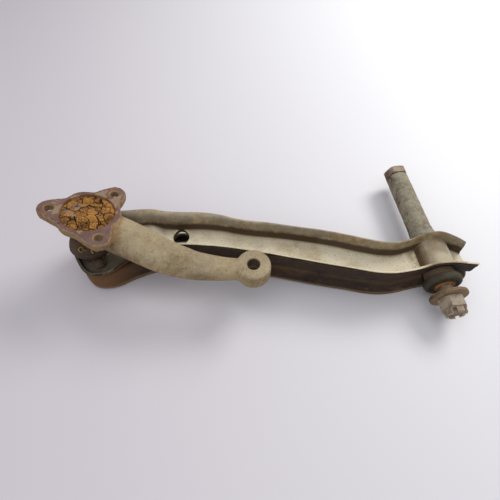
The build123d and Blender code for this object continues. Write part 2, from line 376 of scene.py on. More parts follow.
def weathered(name, look, layers=None):
    # bare metal gone dull: patches, mottling, stains, rust and dust, painted shade on faces turned down,
    # then the layers of its own piece, then worn edges, grime and painted shade in the corners, and specks
    s = Shader(name, {"Metallic": 0.0, "Roughness": 0.8, "Specular IOR Level": 0.35})
    patches = s.step(s.noise(look.get("patchSize", 38), 6, 0.62, warp=0.4), 0.38, 0.66)
    colour = s.blend(patches, look["base"], look["dark"])
    mottle = s.noise(look.get("mottleSize", 7), 8, 0.68)
    colour = s.blend(s.step(mottle, 0.45, 0.75) * 0.55, colour, look["light"])
    stains = s.step(s.noise(look.get("stainSize", 15), 7, 0.7, warp=1.2), 0.54, 0.70)
    colour = s.blend(stains * look.get("stain", 0.5), colour, look["stainColour"])
    rustFrom = look.get("rustFrom", 0.58)
    rustMask = s.step(s.noise(look.get("rustSize", 9), 9, 0.72, warp=0.8), rustFrom, rustFrom + 0.1)
    colour = s.blend(rustMask * look.get("rust", 0.5), colour, look["rustColour"])
    up = s.step(s.facing((0, 0, 1)), 0.25, 0.9)
    dustMask = up * s.step(s.noise(26, 7, 0.6), 0.25, 0.62)
    colour = s.blend(dustMask * look.get("dust", 0.6), colour, look["dustColour"])
    # painted shade: faces turned down are darkened towards the dark colour
    under = s.step(s.facing((0, 0, -1)), -0.15, 0.6)
    colour = s.blend(under * look.get("under", 0.4), colour, look["dark"])
    if layers:
        colour = layers(s, colour, mottle)
    point = s.edges()
    colour = s.blend(s.step(point, 0.52, 0.60) * look.get("wear", 0.35), colour, look["wearColour"])
    # grime and painted shade: corners and creases, where pointiness is low, darken towards this colour
    colour = s.blend(s.step(0.5 - point, 0.01, 0.06) * look.get("creviceGrimeAndShade", 0.5), colour, look["grimeAndShadeColour"])
    specks = s.step(s.noise(1.7, 3, 0.5), 0.60, 0.70)
    colour = s.blend(specks * 0.5, colour, look["grimeAndShadeColour"])
    s.feed("Base Color", colour)
    s.feed("Roughness", 0.62 + 0.3 * mottle + rustMask * 0.08)
    fine = s.noise(1.3, 6, 0.7)
    pits = s.cells(look.get("pitSize", 3.0))
    height = fine * 0.5 + mottle * 0.8 + s.step(pits, 0.0, 0.45) * look.get("pits", 0.25) + rustMask * 0.5
    s.feed("Normal", s.bump(height, look.get("depth", 0.35)))
    return s.material


forging = {
    # heights up the stud from the ball, and radii round it
    "hubBottom": 31, "flangeBottom": 47, "flangeTop": 55, "cavityFloor": 46, "cavityRadius": 24.5,
    "hub": [(17.6, 32.2), (19.0, 35), (22.5, 40), (26.5, 45), (28.5, 48)],
    "disc": 29.3, "lug": 11, "boltCircle": 35, "boltHole": 4.2,
    "phase": 54.6,                                   # where the far right lug stands, in degrees
    "dips": (2.6, 0.9, 3.2), "bulges": (1.6, 0.9, 1.2),             # of the far, lower left and right side
    # middle of the arm, half its width and half its height
    "route": [
        ((-340, 46.6, 35), 17.5, 12.0), ((-329, 41.3, 38.4), 19.0, 14.0), ((-317, 33.8, 39.8), 19.2, 14.0),
        ((-304.5, 25.8, 39.6), 18.7, 13.9), ((-289, 16.1, 38.8), 18.0, 13.8),
        ((-274.5, 7.6, 37.2), 17.1, 13.4), ((-250.5, -2, 33.8), 14.7, 12.0),
        ((-226, -6.6, 30.6), 12.3, 10.4), ((-210, -8.6, 29.4), 11.2, 8.6), ((-200, -9.3, 29.1), 11.0, 7.4),
    ],
    "eye": (-192.2, -9.8, 29.0), "eyeRadius": 16.6, "eyeThickness": 18.6, "eyeBore": 5.9, "eyeEdge": 1.6,
    "groove": 217.5,                                 # degrees, as "phase"
    "voxel": 1.1,
}


def nearBall(s, low, high):
    # 1 close to the ball joint, 0 away from it
    return 1 - s.step(s.away(ballPlace + Vector((0.008, -0.008, 0))), low, high)


def pressingLayers(s, colour, mottle):
    # the far lip, the foot of the walls darkened by oil and painted shade, the saddle over the bush, and
    # grease and painted shadow round the ball
    wall = 1 - s.step(s.facing((0, 0, 1)), 0.45, 0.9)
    height = s.along((0, 0, 1))
    ragged = height + (mottle - 0.5) * 0.006
    low = 1 - s.step(ragged, 0.0115, 0.0185)
    farSide = s.step(s.along((0.2, 1, 0), (0, (bushY - 3) / 1000, 0)), -0.004, 0.004)
    lip = s.step(height, 0.014, 0.018) * farSide
    lipColour = s.blend(s.step(mottle, 0.35, 0.65), rgb(132, 108, 74), rgb(178, 158, 122))
    colour = s.blend(lip * 0.85, colour, lipColour)
    grey = s.step(s.noise(30, 5, 0.6), 0.42, 0.6)
    colour = s.blend(lip * grey * 0.6, colour, rgb(150, 145, 132))
    # oil and painted shade: the lower part of the walls goes dark brown
    colour = s.blend(wall * low * 0.92, colour, rgb(58, 38, 20))
    across = s.along((1, 0, 0))
    saddle = s.step(across, -0.031, -0.020) * (1 - s.step(across, -0.014, -0.004)) * (1 - wall * 0.5)
    tan = s.step(s.noise(9, 6, 0.7), 0.35, 0.6)
    colour = s.blend(saddle * tan * 0.8, colour, rgb(122, 90, 52))
    onSaddle = s.step(across, -0.021, -0.016) * (1 - s.step(across, 0.016, 0.019)) * (1 - wall)
    colour = s.blend(onSaddle * 0.55, colour, rgb(140, 126, 104))
    # grease and painted shadow: the pan round the ball joint goes near black
    greaseAndShadow = nearBall(s, 0.030, 0.052)
    return s.blend(greaseAndShadow * (0.75 + 0.25 * mottle), colour, rgb(44, 30, 18))


def oilyLayers(s, colour, mottle):
    # brown towards the ball's end, and long streaks of rust, mostly low down
    ends = 1 - s.step(s.along((1, 0, 0)) + (mottle - 0.5) * 0.04, -0.345, -0.300)
    colour = s.blend(ends * (0.4 + 0.5 * mottle), colour, rgb(136, 96, 58))
    streak = s.step(s.noise(11, 7, 0.7, (0.35, 1, 1), 0.6), 0.52, 0.66)
    low = 1 - s.step(s.along((0, 0, 1)), -0.016, -0.006)
    return s.blend(streak * (0.25 + low * 0.65), colour, rgb(118, 78, 36))


def forgingLayers(s, colour, mottle):
    # the flange's sides, the eye's bore and the wall of the cavity
    up = s.along(tuple(studAxis), ballPlace)
    gap = s.away(ballPlace + studAxis * 0.0545)
    nearPlate = 1 - s.step(gap, 0.046, 0.052)
    armSide = s.step(s.along((1, 0, 0), ballPlace + studAxis * 0.055), 0.029, 0.033)
    plate = s.step(up, 0.0455, 0.0475) * nearPlate * (1 - armSide)
    speckled = s.step(s.noise(4, 7, 0.7), 0.5, 0.62)
    side = s.blend(speckled * 0.8, rgb(152, 118, 80), rgb(112, 66, 34))
    colour = s.blend(plate * (0.5 + 0.4 * mottle), colour, side)
    eyePlace = (Vector(forging["eye"]) + Vector((0, bushY, 0))) / 1000
    bore = 1 - s.step(s.away(eyePlace), 0.0095, 0.0115)
    colour = s.blend(bore * (0.5 + 0.5 * mottle), colour, rgb(62, 40, 22))
    inside = (1 - s.step(gap, 0.0253, 0.0262)) * s.step(up, 0.045, 0.0455)
    rustyWall = s.blend(s.step(mottle, 0.35, 0.65), rgb(72, 42, 22), rgb(140, 84, 38))
    return s.blend(inside * 0.85, colour, rustyWall)


def flangeLayers(s, colour, mottle):
    # orange rust, most of it on the lugs, and brown round the cavity
    gap = s.away(ballPlace + studAxis * 0.055)
    orange = s.step(s.noise(7, 8, 0.75, warp=1.0), 0.52, 0.64)
    lugs = s.step(gap, 0.030, 0.038)
    colour = s.blend(orange * (0.22 + 0.5 * lugs), colour, rgb(166, 104, 60))
    rim = 1 - s.step(gap, 0.0245, 0.0275)
    return s.blend(rim * 0.5, colour, rgb(112, 66, 38))


# colours and amounts of each finish; sizes of its patterns and the depth of its bump are in millimetres
looks = {
    "pressing": {
        "base": rgb(214, 199, 166), "dark": rgb(178, 157, 120), "light": rgb(230, 219, 190),
        "stainColour": rgb(126, 104, 76), "stain": 0.35, "rustColour": rgb(120, 84, 52), "rust": 0.25,
        "rustFrom": 0.62, "dustColour": rgb(240, 231, 205), "dust": 0.75,
        "wearColour": rgb(210, 194, 162), "wear": 0.45, "grimeAndShadeColour": rgb(84, 66, 46), "creviceGrimeAndShade": 0.8,
        "under": 0.85, "depth": 0.25, "patchSize": 60, "pits": 0.15,
    },
    # dark oil and painted shade: kept this dark for the outer walls and the lower pressing, which lie in
    # shade
    "oilAndShade": {
        "base": rgb(58, 40, 25), "dark": rgb(34, 23, 15), "light": rgb(84, 62, 40),
        "stainColour": rgb(30, 21, 14), "stain": 0.6, "rustColour": rgb(96, 62, 32), "rust": 0.45,
        "rustFrom": 0.56, "dustColour": rgb(128, 108, 80), "dust": 0.5, "wearColour": rgb(142, 120, 92),
        "wear": 0.55, "grimeAndShadeColour": rgb(22, 15, 10), "creviceGrimeAndShade": 0.8, "under": 0.3, "depth": 0.35,
        "patchSize": 30, "mottleSize": 6,
    },
    "sleeve": {
        "base": rgb(186, 116, 58), "dark": rgb(126, 76, 38), "light": rgb(214, 152, 92),
        "stainColour": rgb(96, 56, 30), "stain": 0.5, "rustColour": rgb(150, 84, 36), "rust": 0.6,
        "rustFrom": 0.5, "dustColour": rgb(196, 140, 86), "dust": 0.3, "wearColour": rgb(206, 160, 108),
        "wear": 0.4, "grimeAndShadeColour": rgb(52, 32, 18), "creviceGrimeAndShade": 0.8, "under": 0.5, "depth": 0.3,
        "patchSize": 12, "mottleSize": 3,
    },
    "washer": {
        "base": rgb(126, 98, 72), "dark": rgb(72, 54, 40), "light": rgb(164, 138, 106),
        "stainColour": rgb(58, 42, 30), "stain": 0.6, "rustColour": rgb(122, 80, 46), "rust": 0.5,
        "rustFrom": 0.52, "dustColour": rgb(132, 108, 82), "dust": 0.4,
        "wearColour": rgb(176, 152, 120), "wear": 0.6, "grimeAndShadeColour": rgb(38, 27, 20), "creviceGrimeAndShade": 0.8,
        "under": 0.6, "depth": 0.3, "patchSize": 14, "mottleSize": 3,
    },
    "forging": {
        "base": rgb(170, 149, 111), "dark": rgb(126, 104, 72), "light": rgb(200, 184, 150),
        "stainColour": rgb(104, 82, 56), "stain": 0.55, "rustColour": rgb(134, 96, 56), "rust": 0.45,
        "rustFrom": 0.58, "dustColour": rgb(186, 174, 146), "dust": 0.45,
        "wearColour": rgb(186, 172, 142), "wear": 0.3, "grimeAndShadeColour": rgb(72, 56, 40), "creviceGrimeAndShade": 0.6,
        "under": 0.6, "depth": 0.45, "mottleSize": 4.5, "pitSize": 3.4, "pits": 0.35,
    },
    "fastener": {
        "base": rgb(146, 122, 98), "dark": rgb(84, 60, 44), "light": rgb(186, 170, 148),
        "stainColour": rgb(84, 60, 44), "stain": 0.6, "rustColour": rgb(136, 90, 54), "rust": 0.6,
        "rustFrom": 0.5, "dustColour": rgb(190, 178, 158), "dust": 0.55,
        "wearColour": rgb(196, 184, 164), "wear": 0.45, "grimeAndShadeColour": rgb(58, 42, 32), "creviceGrimeAndShade": 0.7,
        "under": 0.6, "depth": 0.3, "patchSize": 16, "mottleSize": 3.2, "rustSize": 5,
    },
    "spacer": {
        "base": rgb(150, 141, 120), "dark": rgb(88, 74, 54), "light": rgb(200, 190, 160),
        "stainColour": rgb(80, 64, 44), "stain": 0.85, "rustColour": rgb(152, 130, 84), "rust": 0.75,
        "rustFrom": 0.55, "dustColour": rgb(176, 170, 152), "dust": 0.35,
        "wearColour": rgb(176, 172, 160), "wear": 0.3, "grimeAndShadeColour": rgb(64, 54, 42), "creviceGrimeAndShade": 0.5,
        "under": 0.7, "depth": 0.3, "patchSize": 13, "mottleSize": 4, "stainSize": 8,
    },
    "housing": {
        "base": rgb(72, 56, 42), "dark": rgb(44, 33, 25), "light": rgb(104, 88, 68),
        "stainColour": rgb(56, 42, 34), "stain": 0.7, "rustColour": rgb(120, 80, 48), "rust": 0.5,
        "rustFrom": 0.54, "dustColour": rgb(112, 96, 74), "dust": 0.35,
        "wearColour": rgb(150, 134, 110), "wear": 0.3, "grimeAndShadeColour": rgb(44, 32, 26), "creviceGrimeAndShade": 0.8,
        "under": 0.6, "depth": 0.4,
    },
    "flange": {
        "base": rgb(120, 92, 84), "dark": rgb(92, 68, 64), "light": rgb(142, 114, 102),
        "stainColour": rgb(92, 70, 66), "stain": 0.5, "rustColour": rgb(140, 88, 54), "rust": 0.35,
        "rustFrom": 0.58, "dustColour": rgb(128, 102, 92), "dust": 0.3,
        "wearColour": rgb(176, 150, 120), "wear": 0.5, "grimeAndShadeColour": rgb(58, 40, 34), "creviceGrimeAndShade": 0.7,
        "under": 0.0, "depth": 0.35, "patchSize": 14, "mottleSize": 4,
    },
    "crust": {
        "base": rgb(176, 122, 58), "dark": rgb(122, 78, 34), "light": rgb(202, 150, 80),
        "stainColour": rgb(96, 58, 28), "stain": 0.7, "rustColour": rgb(150, 92, 40), "rust": 0.7,
        "rustFrom": 0.5, "dustColour": rgb(206, 158, 92), "dust": 0.35, "wearColour": rgb(208, 162, 98),
        "wear": 0.5, "grimeAndShadeColour": rgb(54, 34, 20), "creviceGrimeAndShade": 0.95, "under": 0.6, "depth": 0.7,
        "patchSize": 14, "mottleSize": 3.4, "rustSize": 5, "pits": 0.5,
    },
}
pressingDusty = weathered("pressedSteelDusty", looks["pressing"], pressingLayers)
pressingOilAndShade = weathered("pressedSteelOilAndShade", looks["oilAndShade"], oilyLayers)
forgingSkin = weathered("forgedSteel", looks["forging"], forgingLayers)
sleeveRust = weathered("sleeveRust", looks["sleeve"])
washerRust = weathered("washerRust", looks["washer"])
flangeFace = weathered("flangeFace", looks["flange"], flangeLayers)
fastenerRust = weathered("rustyFastener", looks["fastener"])
spacerSkin = weathered("spacerSteel", looks["spacer"])
housingSkin = weathered("housingSteel", looks["housing"])


def crustLayers(s, colour, mottle):
    # each flake has its own tone, with dark cracks and grey patches, as buildCrust marks them
    tone = s.attribute("flakeTone")
    crack = s.attribute("flakeCrack")
    grey = s.attribute("flakeGrey")
    colour = s.blend(s.step(tone, 0.1, 0.9) * 0.6, colour, rgb(190, 132, 58))
    colour = s.blend(s.step(tone, 0.55, 0.2) * 0.5, colour, rgb(112, 68, 32))
    colour = s.blend(grey * s.step(mottle, 0.3, 0.6) * 0.9, colour, rgb(150, 134, 124))
    return s.blend(crack * 0.88, colour, rgb(44, 28, 18))


crustSkin = weathered("rustFlakes", looks["crust"], crustLayers)


def rubberSkin(name, base, dust, amount):
    s = Shader(name, {"Roughness": 0.7, "Specular IOR Level": 0.3})
    cloud = s.noise(16, 6, 0.6)
    fine = s.noise(2.2, 6, 0.65)
    up = s.step(s.facing((0, 0, 1)), -0.2, 0.9)
    mask = s.step(cloud * 0.6 + fine * 0.4, 0.36, 0.66) * (up * 0.7 + 0.3)
    colour = s.blend(mask * amount, base, dust)
    # painted shade: creases, where pointiness is low, go almost black
    colour = s.blend(s.step(0.5 - s.edges(), 0.01, 0.07) * 0.7, colour, rgb(26, 20, 17))
    s.feed("Base Color", colour)
    s.feed("Roughness", 0.55 + 0.3 * cloud + mask * 0.12)
    s.feed("Normal", s.bump(fine + cloud * 0.6, 0.25))
    return s.material


bushRubber = rubberSkin("bushRubber", rgb(60, 54, 43), rgb(108, 101, 82), 0.55)
bootRubber = rubberSkin("bootRubber", rgb(68, 54, 46), rgb(118, 94, 72), 0.6)


def plainSkin(name, colour, shade, roughness, metallic):
    s = Shader(name, {"Metallic": metallic, "Specular IOR Level": 0.5})
    fine = s.noise(1.8, 5, 0.6)
    s.feed("Base Color", s.blend(s.step(fine, 0.35, 0.7), colour, shade))
    s.feed("Roughness", roughness + fine * 0.2)
    s.feed("Normal", s.bump(fine, 0.05))
    return s.material


springSteel = plainSkin("springSteel", rgb(170, 168, 164), rgb(120, 116, 110), 0.3, 0.9)
linerPlastic = plainSkin("linerPlastic", rgb(222, 216, 196), rgb(190, 180, 156), 0.45, 0.0)
wireBrass = plainSkin("wireBrass", rgb(196, 158, 84), rgb(120, 88, 44), 0.35, 0.85)

floorSheet = Shader("tableTop", {"Roughness": 0.55, "Specular IOR Level": 0.3})
# painted light falloff: the table goes from greyish violet on the left to near white on the right, brighter
# towards the key lamp
across = floorSheet.step(floorSheet.along((0.93, 0.2, 0)), -0.55, 0.35)
floorSheet.feed("Base Color", floorSheet.blend(across, rgb(218, 211, 217), rgb(250, 251, 253)))
bm = bmesh.new()
bmesh.ops.create_grid(bm, x_segments=2, y_segments=2, size=4)       # metres
bmesh.ops.translate(bm, verts=bm.verts, vec=(0, 0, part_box("lower_pressing")[0].z))
floorMesh = bpy.data.meshes.new("tableTop")
bm.to_mesh(floorMesh)
bm.free()
floor = bpy.data.objects.new("tableTop", floorMesh)
floorMesh.materials.append(floorSheet.material)
bpy.context.scene.collection.objects.link(floor)
print("camera, light and materials ready")


pressing = {
    "sheet": 3.5, "floor": 3.6, "raisedFloor": 8.2, "rim": 23.8, "inset": 2.6,
    "saddleRadius": 18.3, "linkHole": (-264.5, 52.0), "linkHoleRadius": 8.75, "cupRadius": 16.6,
    "tubeRadius": 15.1, "table": 24.0, "perStation": 9, "floorRows": 12,
    "rise": (-281, -297),                            # the floor rises between these towards the ball
    "fuller": (2.4, -3, -2),                         # how the lower lip differs before the pan
    # (near edge x, y, rim height), (far edge x, y, rim height), lean of the far rim
    "stations": [
        ((31, -26.2, 22), (27.5, 7.2, 22), 0.8), ((18, -24.6, 24), (19, 13, 24), 0.8),
        ((2, -23.6, 27), (4, 18.6, 27), 0.8), ((-14, -23.6, 26.5), (-13, 18.4, 26), 0.8),
        ((-28, -25.4, 24), (-28, 14.6, 24), 0.85), ((-42, -27.2, 23.8), (-43, 12.4, 23.8), 0.85),
        ((-57, -27.6, 23.8), (-59, 15.0, 23.8), 0.95), ((-74, -24.9, 23.8), (-79, 21.6, 23.8), 1.05),
        ((-93, -19.0, 23.8), (-105, 31.2, 23.8), 1.1), ((-115, -11.8, 23.8), (-138, 40.9, 23.8), 1.2),
        ((-145, -2.2, 23.8), (-169, 49.4, 23.8), 1.5), ((-174, 7.2, 23.8), (-199, 57, 23.8), 1.9),
        ((-208, 17.0, 23.8), (-222, 66.4, 23.8), 2.1), ((-240, 24.0, 23.8), (-243, 72.2, 23.8), 2.3),
        ((-270, 28.0, 23), (-273, 75.6, 23.8), 2.5), ((-297, 26.5, 21), (-296, 81.6, 23.8), 2.6),
        ((-317, 20, 16), (-318, 82.6, 23.8), 2.6),
    ],
    "panEdge": [(-336, 8.6, 13), (-356, 9.0, 13), (-371, 26, 13.5), (-379, 46, 14), (-378.5, 64, 15),
                (-367, 79, 18), (-345, 84, 22)],
    "panCentre": (-350, 47),
}
# height as a share of the rim's, against distance inwards in millimetres
rimSection = [(0, 0.975), (0.7, 0.998), (1.5, 0.99), (2.4, 0.93), (3.1, 0.82), (3.6, 0.67), (3.9, 0.50),
              (4.05, 0.34), (4.25, 0.19), (4.8, 0.09), (5.8, 0.03), (7.4, 0.0)]


def pressingSurface(upper):
    # a channel from the bush to the pan round the ball: its rim is followed all round, with the
    # rim's section set inwards from it and then the floor as far as the middle
    p = pressing
    near = [Vector(station[0]) for station in p["stations"]]
    far = [Vector(station[1]) for station in p["stations"]]
    pan = [Vector(point) for point in p["panEdge"]]
    if not upper:
        for point in near + far + pan:
            point.z = p["rim"]
        for point, shift in ((near[-1], p["fuller"][2]), (near[-2], p["fuller"][1]),
                             (pan[0], p["fuller"][0]), (pan[1], p["fuller"][0])):
            point.y += shift
    lean = [1.15] * len(near) + [0.8] * len(pan) + [s[2] for s in reversed(p["stations"])]
    middles = [(a + b) / 2 for a, b in zip(near, far)]
    panCentre = Vector((*p["panCentre"], 0))
    centres = middles + [panCentre] * len(pan) + middles[::-1]
    edge = catmull(near + pan + far[::-1], p["perStation"])
    core = catmull(centres, p["perStation"])
    leans = [v.x for v in catmull([(value, 0, 0) for value in lean], p["perStation"])]
    rows = len(rimSection) + p["floorRows"]
    bm = bmesh.new()
    bmesh.ops.create_grid(bm, x_segments=len(edge) - 1, y_segments=rows - 1, size=1)
    for v in bm.verts:
        i = round((v.co.x + 1) / 2 * (len(edge) - 1))
        row = round((v.co.y + 1) / 2 * (rows - 1))
        rim = edge[i]
        centre = core[i]
        inward = Vector((centre.x - rim.x, centre.y - rim.y, 0))
        reach = inward.length
        inward.normalize()
        if row < len(rimSection):
            distance, share = rimSection[row]
            distance *= leans[i]
        else:
            start = rimSection[-1][0] * leans[i]
            t = (row - len(rimSection) + 1) / p["floorRows"]
            distance = mix(start, reach - p["inset"], t)
            share = 0
        x = rim.x + inward.x * (distance + p["inset"])
        y = rim.y + inward.y * (distance + p["inset"])
        base = p["floor"]
        if upper:
            base = mix(p["floor"], p["raisedFloor"], smooth(*p["rise"], x))
        z = base + (rim.z - base) * share
        radius = p["saddleRadius"]
        if abs(x) < radius + 14:
            arch = math.sqrt(max(radius ** 2 - x ** 2, 0))
            soft = 7.0 if x < 0 else 2.5             # the side towards the ball joint is softer
            step = max(soft - abs(z - arch), 0) / soft
            z = max(z, arch) + step * step * soft / 4
        wave = 0.45 * ripple((x, y, 0), 34, 3) + 0.2 * ripple((x, y, z), 11, 5)
        side = 0.7 * share * ripple((x, 0, 0), 40, 8 if y < centre.y else 12)
        v.co = (x + inward.x * side, y + inward.y * side, z + wave * (0.4 + share))
    bmesh.ops.remove_doubles(bm, verts=bm.verts, dist=0.05)
    bmesh.ops.recalc_face_normals(bm, faces=bm.faces)
    if sum(face.normal.z * face.calc_area() for face in bm.faces) < 0:
        bmesh.ops.reverse_faces(bm, faces=bm.faces)
    if not upper:
        for v in bm.verts:
            v.co.z = min(v.co.z, p["table"])
        bmesh.ops.scale(bm, verts=bm.verts, vec=(1, 1, -1))
        bmesh.ops.reverse_faces(bm, faces=bm.faces)
    return bm


def buildPressing(name, upper):
    p = pressing
    obj = toObject(pressingSurface(upper), name)
    emptySlots(obj)
    modify(obj, "SOLIDIFY", thickness=p["sheet"] / 1000, offset=-1, use_quality_normals=True,
           material_offset=1)
    settle(obj)
    atHole = Matrix.Translation((*p["linkHole"], 0))
    atBall = Matrix.Translation((ballCentre.x, ballCentre.y, 0))
    carve(obj, [
        toObject(prism(64, p["linkHoleRadius"], -30, 30, atHole), "cutHole"),
        toObject(prism(72, p["cupRadius"], -30, 30, atBall), "cutCup"),
        toObject(prism(72, p["tubeRadius"], -60, 60, alongY), "cutTube"),
    ])
    rounded(obj, 0.9, 3, 50)
    shadeByAngle(obj, 40)
    # the outer skin and the lower pressing take the dark finish, oil and painted shade together
    finishPiece(obj, (pressingDusty, pressingOilAndShade) if upper else (pressingOilAndShade, pressingOilAndShade),
                "control_arm", "pressed_steel", name)


buildPressing("upper_pressing", True)
buildPressing("lower_pressing", False)
print("pressings built")


def flangeRim(angle):
    # distance from the stud to the flange's edge, angle in degrees from the far right lug
    f = forging
    circle = f["boltCircle"]
    off = abs((angle + 60) % 120 - 60)                # degrees from the nearest lug
    a = math.radians(off)
    if off < 13.2:
        return circle * math.cos(a) + math.sqrt(f["lug"] ** 2 - (circle * math.sin(a)) ** 2)
    straight = (circle / 2 + f["lug"]) / math.cos(math.radians(60) - a)
    side = int((angle % 360) // 120)
    waist = straight - f["dips"][side] * math.sin(math.pi * smooth(12, 54, off))
    return max(waist, f["disc"] + f["bulges"][side] * smooth(34, 60, off))


def flangePlate():
    f = forging
    bm = bmesh.new()
    ring = bmesh.ops.create_circle(bm, cap_ends=True, segments=180, radius=1)["verts"]
    for v in ring:
        angle = math.degrees(math.atan2(v.co.y, v.co.x))
        v.co = v.co.normalized() * flangeRim(angle - f["phase"])
    bmesh.ops.translate(bm, verts=bm.verts, vec=(0, 0, f["flangeBottom"]))
    extruded(bm, f["flangeTop"] - f["flangeBottom"])
    bm.transform(onStud)
    return bm


def roughForging():
    # flange, hub, arm and eye run into one another, with the skin of a forging
    f = forging
    hub = lathe([(0, f["hubBottom"]), (16.6, f["hubBottom"])] + f["hub"] + [(0, f["hub"][-1][1])], onStud)
    route = catmull([place for place, width, height in f["route"]], 4)
    sizes = catmull([(width, height, 0) for place, width, height in f["route"]], 4)
    bar = tube(route, [size.x for size in sizes], [size.y / size.x for size in sizes])
    half = f["eyeThickness"] / 2
    outer = f["eyeRadius"]
    edge = f["eyeEdge"]
    eye = lathe([(0, -half), (outer - edge, -half), (outer, -half + edge), (outer + 0.1, 0),
                 (outer, half - edge), (outer - edge, half), (0, half)], Matrix.Translation(f["eye"]))
    obj = toObject(flangePlate(), "steering_arm")
    carve(obj, [toObject(piece, "joinPiece") for piece in (hub, bar, eye)], "UNION")
    modify(obj, "REMESH", mode="VOXEL", voxel_size=f["voxel"] / 1000, use_smooth_shade=True)
    modify(obj, "SMOOTH", factor=0.5, iterations=9)
    settle(obj)
    bm = bmesh.new()
    bm.from_mesh(obj.data)
    for v in bm.verts:
        spot = v.co * 1000
        swell = 0.16 * ripple(spot, 9, 2) + 0.22 * ripple(spot, 22, 4) + 0.07 * ripple(spot, 3.5, 6)
        v.co += v.normal * swell / 1000
    bm.to_mesh(obj.data)
    bm.free()
    return obj


def aroundStud(degrees):
    return onStud @ Matrix.Rotation(math.radians(degrees), 4, "Z")


def forgingCutters():
    f = forging
    top = f["flangeTop"]
    floor = f["cavityFloor"]
    inside = f["cavityRadius"]
    bore = f["eyeBore"]
    hole = f["boltHole"]
    half = f["eyeThickness"] / 2
    cavity = lathe([(0, floor), (inside - 2.5, floor), (inside - 0.6, floor + 2), (inside, top - 1.2),
                    (inside + 1.6, top + 2), (0, top + 2)], onStud)
    face = lathe([(0, top), (60, top), (60, top + 20), (0, top + 20)], onStud)
    groove = block((14, 1.3, 3), aroundStud(f["groove"]) @ Matrix.Translation((29, 0, top)))
    chip = block((9, 9, 9), aroundStud(f["phase"] - 12) @ Matrix.Translation((48.5, -6.5, top + 1.2))
                 @ Matrix.Rotation(math.radians(35), 4, "Y"))
    taper = lathe([(0, 20), (10.9, 20), (9.4, 30), (7.5, floor + 0.2), (0, floor + 0.2)], onStud)
    eye = lathe([(0, -half - 2), (bore + 2.6, -half - 1), (bore + 1.0, -half + 1), (bore, half - 5),
                 (bore, half - 1), (bore + 1.6, half + 1), (0, half + 1)], Matrix.Translation(f["eye"]))
    cuts = [cavity, face, groove, chip, taper, eye]
    for i in range(3):
        a = math.radians(f["phase"] + 120 * i)
        spot = Matrix.Translation((f["boltCircle"] * math.cos(a), f["boltCircle"] * math.sin(a), 0))
        cuts.append(lathe([(0, 30), (hole, 30), (hole, top - 1.4), (hole + 2.0, top + 1), (0, top + 1)],
                          onStud @ spot, 40))
    return [toObject(cut, "cutForging") for cut in cuts]


def isMachined(face):
    # on the flange's top, inside its edge
    f = forging
    spot = studTurn.inverted() @ ((face.center - ballPlace) * 1000)
    rim = flangeRim(math.degrees(math.atan2(spot.y, spot.x)) - f["phase"])
    onTop = face.normal.dot(studAxis) > 0.9 and spot.z > f["flangeTop"] - 1.2
    return onTop and spot.xy.length < rim + 0.8


def buildForging():
    obj = roughForging()
    carve(obj, forgingCutters())
    shadeByAngle(obj, 35)
    emptySlots(obj)
    for face in obj.data.polygons:
        face.material_index = 1 if isMachined(face) else 0
    finishPiece(obj, (forgingSkin, flangeFace), "steering_knuckle", "forged_steel", "steering_arm")


buildForging()
print("steering arm built")

crust = {
    "radius": 24.2, "foot": 46.1, "lowest": 46.4, "highest": 55.9,
    "level": 54.0, "mound": 54.7, "moundRadius": 11.5,              # higher over the stud's nut
    "flake": 8.6, "tilt": 2.3, "crackDepth": 2.2, "chip": 2.3,
    "gapAngle": -21, "gapDepth": 4.0,                # where the rust has fallen away from the wall
    "patch": (-10.7, 6.1), "palePatch": (-17, 0), "dark": (-1, -17),
}


def crustFlakes(spot):
    # how high each flake stands, from 0 to 1, and how near this spot is to a large and a small crack
    c = crust
    bent = spot + Vector((ripple(spot, 6, 1), ripple(spot, 6, 9), 0)) * 2.6
    near, places = noise.voronoi(Vector((bent.x, bent.y * 1.15, 4)) / c["flake"])
    pick = math.sin(places[0].x * 12.99 + places[0].y * 78.23) * 437.58
    small = noise.voronoi(Vector((bent.x, bent.y, 9)) / c["chip"])[0]
    split = smooth(0.10, 0.015, near[1] - near[0])
    return pick - math.floor(pick), split, smooth(0.14, 0.02, small[1] - small[0])


def crustHeight(spot, pick, split, chip):
    c = crust
    r = spot.xy.length
    height = c["level"] + c["tilt"] * (pick - 0.35) + 1.5 * smooth(14, 8, r) + 0.8 * ripple(spot, 12, 5)
    if r < c["moundRadius"]:
        height = max(height, c["mound"] + 0.8 * pick)
    height -= c["crackDepth"] * split * (0.35 + 0.65 * smooth(9, 12.5, r)) + 0.4 * chip * (0.4 + pick)
    angle = math.degrees(math.atan2(spot.y, spot.x)) - c["gapAngle"]
    height -= c["gapDepth"] * smooth(20, 8, abs(angle)) * smooth(17.5, 19.5, r)
    height -= 1.6 * smooth(20.5, 24, r) * (0.3 + pick)
    height += 0.25 * ripple(spot, 1.6, 3) + 0.35 * ripple(spot, 3.4, 7)
    return min(max(height, c["lowest"]), c["highest"])


def nearSpot(spot, name, far, near):
    return smooth(far, near, (spot.xy - Vector(crust[name])).length)


